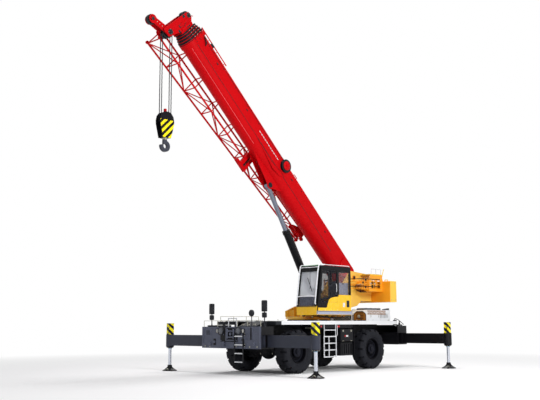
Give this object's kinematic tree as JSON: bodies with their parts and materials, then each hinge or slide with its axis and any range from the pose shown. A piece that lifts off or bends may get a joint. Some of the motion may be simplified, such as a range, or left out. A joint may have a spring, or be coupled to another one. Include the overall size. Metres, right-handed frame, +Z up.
{
  "type": "mobile crane",
  "caption": "Rough-terrain mobile crane with box boom raised, outriggers out, side cab, stowed lattice jib, and slewing, luffing, telescoping, steering and outrigger joints.",
  "frame": {"origin": "on the ground, midway between the rearmost and foremost points, in the middle plane", "axes": "+X forward along the carrier, +Y to its left, +Z up"},
  "size_m": [12.2263, 7.48, 12.3166],
  "materials": {
    "carrier_grey": "satin",
    "running_gear": "satin",
    "deck_white": "satin",
    "black_paint": "satin",
    "ladder_silver": "brushed",
    "lamp_lens": "gloss",
    "mirror_black": "matte",
    "tyre": "matte",
    "rim": "satin",
    "outrigger_grey": "satin",
    "jack_steel": "gloss",
    "crane_yellow": "gloss",
    "counterweight_yellow": "satin",
    "cab_black": "gloss",
    "cab_glass": "gloss",
    "seat_grey": "matte",
    "boom_red": "gloss",
    "sheave_black": "satin",
    "rod_chrome": "gloss",
    "barrel_black": "gloss",
    "rope_steel": "satin",
    "block_black": "satin",
    "hook_steel": "satin"
  },
  "bodies": {
    "carrier": {"carrier_frame": "carrier_grey", "front_outrigger_box": "carrier_grey", "rear_outrigger_box": "carrier_grey", "axle_housings": "running_gear", "drive_line": "running_gear", "deck": "deck_white", "fenders": "black_paint", "engine_hood": "deck_white", "exhaust_box": "black_paint", "engine_block": "running_gear", "tool_box": "black_paint", "fuel_tank": "black_paint", "ladders": "ladder_silver", "carrier_lamps": "lamp_lens", "mirrors": "mirror_black", "front_rails": "ladder_silver"},
    "knuckle_front_left": {"knuckle_fl": "running_gear"},
    "wheel_front_left": {"tyre_fl": "tyre", "rim_fl": "rim"},
    "knuckle_front_right": {"knuckle_fr": "running_gear"},
    "wheel_front_right": {"tyre_fr": "tyre", "rim_fr": "rim"},
    "knuckle_rear_left": {"knuckle_rl": "running_gear"},
    "wheel_rear_left": {"tyre_rl": "tyre", "rim_rl": "rim"},
    "knuckle_rear_right": {"knuckle_rr": "running_gear"},
    "wheel_rear_right": {"tyre_rr": "tyre", "rim_rr": "rim"},
    "outrigger_front_left": {"beam_fl": "outrigger_grey"},
    "jack_front_left": {"jack_fl": "jack_steel"},
    "outrigger_front_right": {"beam_fr": "outrigger_grey"},
    "jack_front_right": {"jack_fr": "jack_steel"},
    "outrigger_rear_left": {"beam_rl": "outrigger_grey"},
    "jack_rear_left": {"jack_rl": "jack_steel"},
    "outrigger_rear_right": {"beam_rr": "outrigger_grey"},
    "jack_rear_right": {"jack_rr": "jack_steel"},
    "superstructure": {"turntable_frame": "crane_yellow", "counterweight": "counterweight_yellow", "hoist_winches": "black_paint", "cab_lower": "crane_yellow", "cab_frame": "cab_black", "cab_glass": "cab_glass", "operator_seat": "seat_grey", "cab_controls": "mirror_black"},
    "cab_door": {"door_panel": "cab_black", "door_glass": "cab_glass"},
    "boom": {"boom_base": "boom_red", "jib": "boom_red"},
    "boom_stage_2": {"boom_section_2": "boom_red"},
    "boom_stage_3": {"boom_section_3": "boom_red"},
    "boom_stage_4": {"boom_section_4": "boom_red"},
    "boom_tip": {"boom_section_5": "boom_red", "boom_head": "boom_red", "head_sheaves": "sheave_black"},
    "rope_hang": {"rope_falls": "rope_steel"},
    "hook_set": {"hook_block": "block_black", "hook": "hook_steel"},
    "lift_rod": {"lift_rod": "rod_chrome"},
    "lift_barrel": {"lift_barrel": "barrel_black"}
  },
  "joints": [
    {"name": "steer_front_left", "type": "hinge", "parent": "carrier", "child": "knuckle_front_left", "pos_m": [0.4468, 0.9, 0.745], "axis": [0, 0, 1], "range_deg": [-28, 28]},
    {"name": "wheel_front_left_spin", "type": "hinge", "parent": "knuckle_front_left", "child": "wheel_front_left", "pos_m": [0.4468, 1.23, 0.745], "axis": [0, 1, 0], "continuous": true},
    {"name": "steer_front_right", "type": "hinge", "parent": "carrier", "child": "knuckle_front_right", "pos_m": [0.4468, -0.9, 0.745], "axis": [0, 0, 1], "range_deg": [-28, 28]},
    {"name": "wheel_front_right_spin", "type": "hinge", "parent": "knuckle_front_right", "child": "wheel_front_right", "pos_m": [0.4468, -1.23, 0.745], "axis": [0, 1, 0], "continuous": true},
    {"name": "steer_rear_left", "type": "hinge", "parent": "carrier", "child": "knuckle_rear_left", "pos_m": [-3.7532, 0.9, 0.745], "axis": [0, 0, 1], "range_deg": [-28, 28]},
    {"name": "wheel_rear_left_spin", "type": "hinge", "parent": "knuckle_rear_left", "child": "wheel_rear_left", "pos_m": [-3.7532, 1.23, 0.745], "axis": [0, 1, 0], "continuous": true},
    {"name": "steer_rear_right", "type": "hinge", "parent": "carrier", "child": "knuckle_rear_right", "pos_m": [-3.7532, -0.9, 0.745], "axis": [0, 0, 1], "range_deg": [-28, 28]},
    {"name": "wheel_rear_right_spin", "type": "hinge", "parent": "knuckle_rear_right", "child": "wheel_rear_right", "pos_m": [-3.7532, -1.23, 0.745], "axis": [0, 1, 0], "continuous": true},
    {"name": "outrigger_front_left_slide", "type": "slide", "parent": "carrier", "child": "outrigger_front_left", "axis": [0, 1, 0], "range_m": [-1.8, 0]},
    {"name": "jack_front_left_slide", "type": "slide", "parent": "outrigger_front_left", "child": "jack_front_left", "axis": [0, 0, -1], "range_m": [-0.5, 0]},
    {"name": "outrigger_front_right_slide", "type": "slide", "parent": "carrier", "child": "outrigger_front_right", "axis": [0, -1, 0], "range_m": [-1.8, 0]},
    {"name": "jack_front_right_slide", "type": "slide", "parent": "outrigger_front_right", "child": "jack_front_right", "axis": [0, 0, -1], "range_m": [-0.5, 0]},
    {"name": "outrigger_rear_left_slide", "type": "slide", "parent": "carrier", "child": "outrigger_rear_left", "axis": [0, 1, 0], "range_m": [-1.8, 0]},
    {"name": "jack_rear_left_slide", "type": "slide", "parent": "outrigger_rear_left", "child": "jack_rear_left", "axis": [0, 0, -1], "range_m": [-0.5, 0]},
    {"name": "outrigger_rear_right_slide", "type": "slide", "parent": "carrier", "child": "outrigger_rear_right", "axis": [0, -1, 0], "range_m": [-1.8, 0]},
    {"name": "jack_rear_right_slide", "type": "slide", "parent": "outrigger_rear_right", "child": "jack_rear_right", "axis": [0, 0, -1], "range_m": [-0.5, 0]},
    {"name": "slew", "type": "hinge", "parent": "carrier", "child": "superstructure", "pos_m": [-1.6532, 0, 1.85], "axis": [0, 0, 1], "continuous": true},
    {"name": "cab_door_slide", "type": "slide", "parent": "superstructure", "child": "cab_door", "axis": [-1, 0, 0], "range_m": [0, 0.7]},
    {"name": "boom_luff", "type": "hinge", "parent": "superstructure", "child": "boom", "pos_m": [-3.9832, 0, 3.51], "axis": [0, -1, 0], "range_deg": [-46, 36]},
    {"name": "boom_telescope_2", "type": "slide", "parent": "boom", "child": "boom_stage_2", "axis": [0.7193, 0, 0.6947], "range_m": [0, 7.6]},
    {"name": "boom_telescope_3", "type": "slide", "parent": "boom_stage_2", "child": "boom_stage_3", "axis": [0.7193, 0, 0.6947], "range_m": [0, 7.6]},
    {"name": "boom_telescope_4", "type": "slide", "parent": "boom_stage_3", "child": "boom_stage_4", "axis": [0.7193, 0, 0.6947], "range_m": [0, 7.6]},
    {"name": "boom_telescope_5", "type": "slide", "parent": "boom_stage_4", "child": "boom_tip", "axis": [0.7193, 0, 0.6947], "range_m": [0, 7.6]},
    {"name": "rope_hang_level", "type": "hinge", "parent": "boom_tip", "child": "rope_hang", "pos_m": [5.2886, 0, 11.34181], "axis": [0, -1, 0], "range_deg": [-36.5, 46.5]},
    {"name": "hook_hoist", "type": "slide", "parent": "rope_hang", "child": "hook_set", "axis": [0, 0, -1], "range_m": [-2.4, 0], "deforming": ["rope_falls"]},
    {"name": "lift_rod_eye", "type": "hinge", "parent": "boom", "child": "lift_rod", "pos_m": [0.46445, 0, 6.74991], "axis": [0, -1, 0], "range_deg": [-8.47, 6.67]},
    {"name": "lift_stroke", "type": "slide", "parent": "lift_rod", "child": "lift_barrel", "axis": [-0.5132, 0, -0.8583], "range_m": [-1.5916, 1.2477]}
  ],
  "couplings": [
    {"joint": "steer_front_right", "follows": "steer_front_left", "ratio": 1},
    {"joint": "steer_rear_right", "follows": "steer_rear_left", "ratio": 1},
    {"joint": "boom_telescope_3", "follows": "boom_telescope_2", "ratio": 1},
    {"joint": "boom_telescope_4", "follows": "boom_telescope_2", "ratio": 1},
    {"joint": "boom_telescope_5", "follows": "boom_telescope_2", "ratio": 1},
    {"joint": "rope_hang_level", "follows": "boom_luff", "ratio": -1},
    {"joint": "lift_rod_eye", "follows": "boom_luff", "ratio": 0.17971},
    {"joint": "lift_stroke", "follows": "boom_luff", "m_per_rad": 1.9699}
  ]
}
